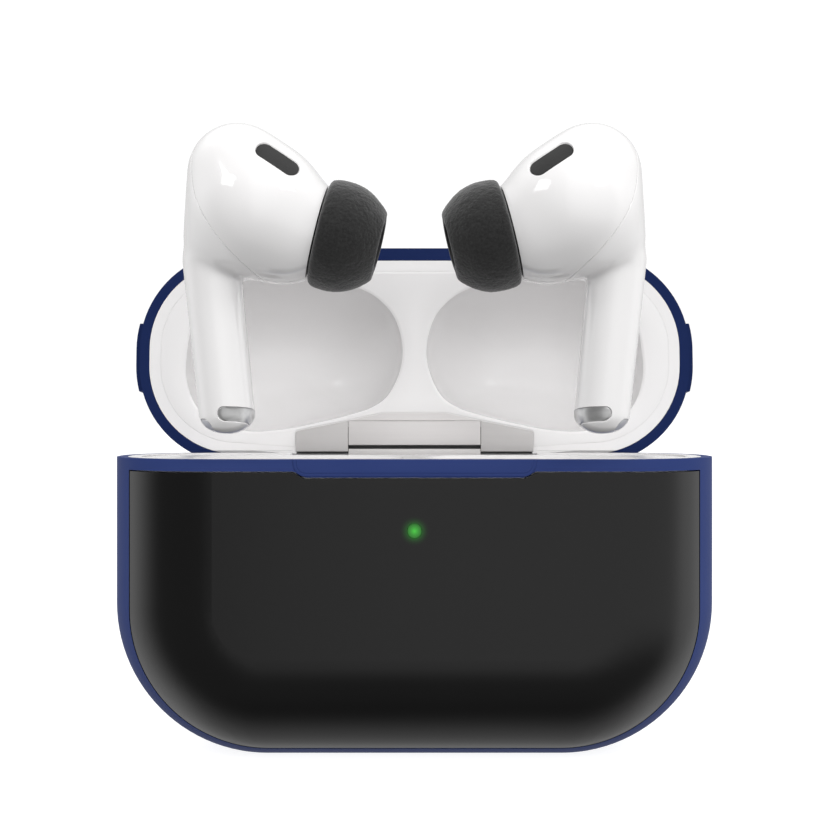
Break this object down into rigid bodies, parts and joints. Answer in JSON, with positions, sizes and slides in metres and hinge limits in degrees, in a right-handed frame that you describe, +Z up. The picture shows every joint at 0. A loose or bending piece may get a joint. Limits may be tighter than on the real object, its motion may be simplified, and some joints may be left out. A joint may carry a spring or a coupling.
{
  "type": "wireless earbuds case",
  "caption": "Charging case for stemmed wireless earbuds in a two-tone protective cover, hinged lid open, earbuds out in front",
  "frame": {"origin": "centre of the flat face that the case stands on", "axes": "+X to the case's right seen from the front, -Y to the front, +Z up"},
  "size_m": [0.0638, 0.052, 0.0629],
  "materials": {
    "navy_tpu": "satin flexible plastic",
    "black_panel": "soft-touch",
    "light_window": "translucent",
    "white_gloss": "gloss",
    "hinge_metal": "satin",
    "steel": "satin",
    "board": "solder mask",
    "battery_foil": "foil",
    "flex": "satin",
    "copper": "enamelled winding",
    "ferrite": "matte",
    "led": "lit",
    "magnet": "plated",
    "dark_plastic": "matte",
    "gold": "plated",
    "bud_gloss": "high gloss",
    "mesh_black": "fine mesh",
    "core_rubber": "matte",
    "foam": "memory foam",
    "driver_metal": "satin",
    "cell_metal": "satin",
    "bud_board": "solder mask",
    "contact_metal": "polished"
  },
  "bodies": {
    "cover_base": {"cover_base_frame": "navy_tpu", "cover_front_panel": "black_panel", "cover_back_panel": "black_panel", "cover_light_window": "light_window"},
    "case_base": {"base_shell": "white_gloss", "cradle": "white_gloss", "hinge_bracket_base": "hinge_metal", "hinge_pin": "steel", "hinge_spring": "steel", "main_board": "board", "battery": "battery_foil", "charge_port": "steel", "flex_cables": "flex", "charge_coil": "copper", "ferrite_sheet": "ferrite", "status_led": "led", "light_pipe": "light_window", "base_magnets": "magnet", "bud_magnets": "magnet", "contact_blocks": "dark_plastic", "lanyard_loop": "steel", "button_switch": "dark_plastic"},
    "setup_button": {"setup_button": "white_gloss"},
    "left_contact_pins": {"left_contact_pins": "gold"},
    "right_contact_pins": {"right_contact_pins": "gold"},
    "lid": {"cover_lid_frame": "navy_tpu", "cover_lid_front_panel": "black_panel", "cover_lid_back_panel": "black_panel", "lid_shell": "white_gloss", "lid_liner": "white_gloss", "hinge_bracket_lid": "hinge_metal", "lid_magnets": "magnet"},
    "left_bud": {"left_stem_shell": "bud_gloss", "left_head_shell": "bud_gloss", "left_vent_mesh": "mesh_black", "left_nozzle_mesh": "mesh_black", "left_tip_core": "core_rubber", "left_foam_tip": "foam", "left_driver": "driver_metal", "left_cell": "cell_metal", "left_board": "bud_board", "left_charge_contacts": "contact_metal", "left_mic_mesh": "mesh_black"},
    "right_bud": {"right_stem_shell": "bud_gloss", "right_head_shell": "bud_gloss", "right_vent_mesh": "mesh_black", "right_nozzle_mesh": "mesh_black", "right_tip_core": "core_rubber", "right_foam_tip": "foam", "right_driver": "driver_metal", "right_cell": "cell_metal", "right_board": "bud_board", "right_charge_contacts": "contact_metal", "right_mic_mesh": "mesh_black"}
  },
  "joints": [
    {"name": "case_lift", "type": "slide", "parent": "cover_base", "child": "case_base", "axis": [0, 0, 1], "range_m": [0, 0.0224]},
    {"name": "lid_hinge", "type": "hinge", "parent": "case_base", "child": "lid", "pos_m": [0, 0.01095, 0.031], "axis": [1, 0, 0], "range_deg": [0, 95]},
    {"name": "left_bud_reach", "type": "slide", "parent": "cover_base", "child": "left_bud", "axis": [0, 1, 0], "range_m": [0, 0.0165]},
    {"name": "right_bud_reach", "type": "slide", "parent": "cover_base", "child": "right_bud", "axis": [0, 1, 0], "range_m": [0, 0.0165]},
    {"name": "setup_button_press", "type": "slide", "parent": "case_base", "child": "setup_button", "axis": [0, -1, 0], "range_m": [0, 0.0003]},
    {"name": "left_pins_press", "type": "slide", "parent": "case_base", "child": "left_contact_pins", "axis": [0, 0, -1], "range_m": [0, 0.0004]},
    {"name": "right_pins_press", "type": "slide", "parent": "case_base", "child": "right_contact_pins", "axis": [0, 0, -1], "range_m": [0, 0.0004]}
  ]
}
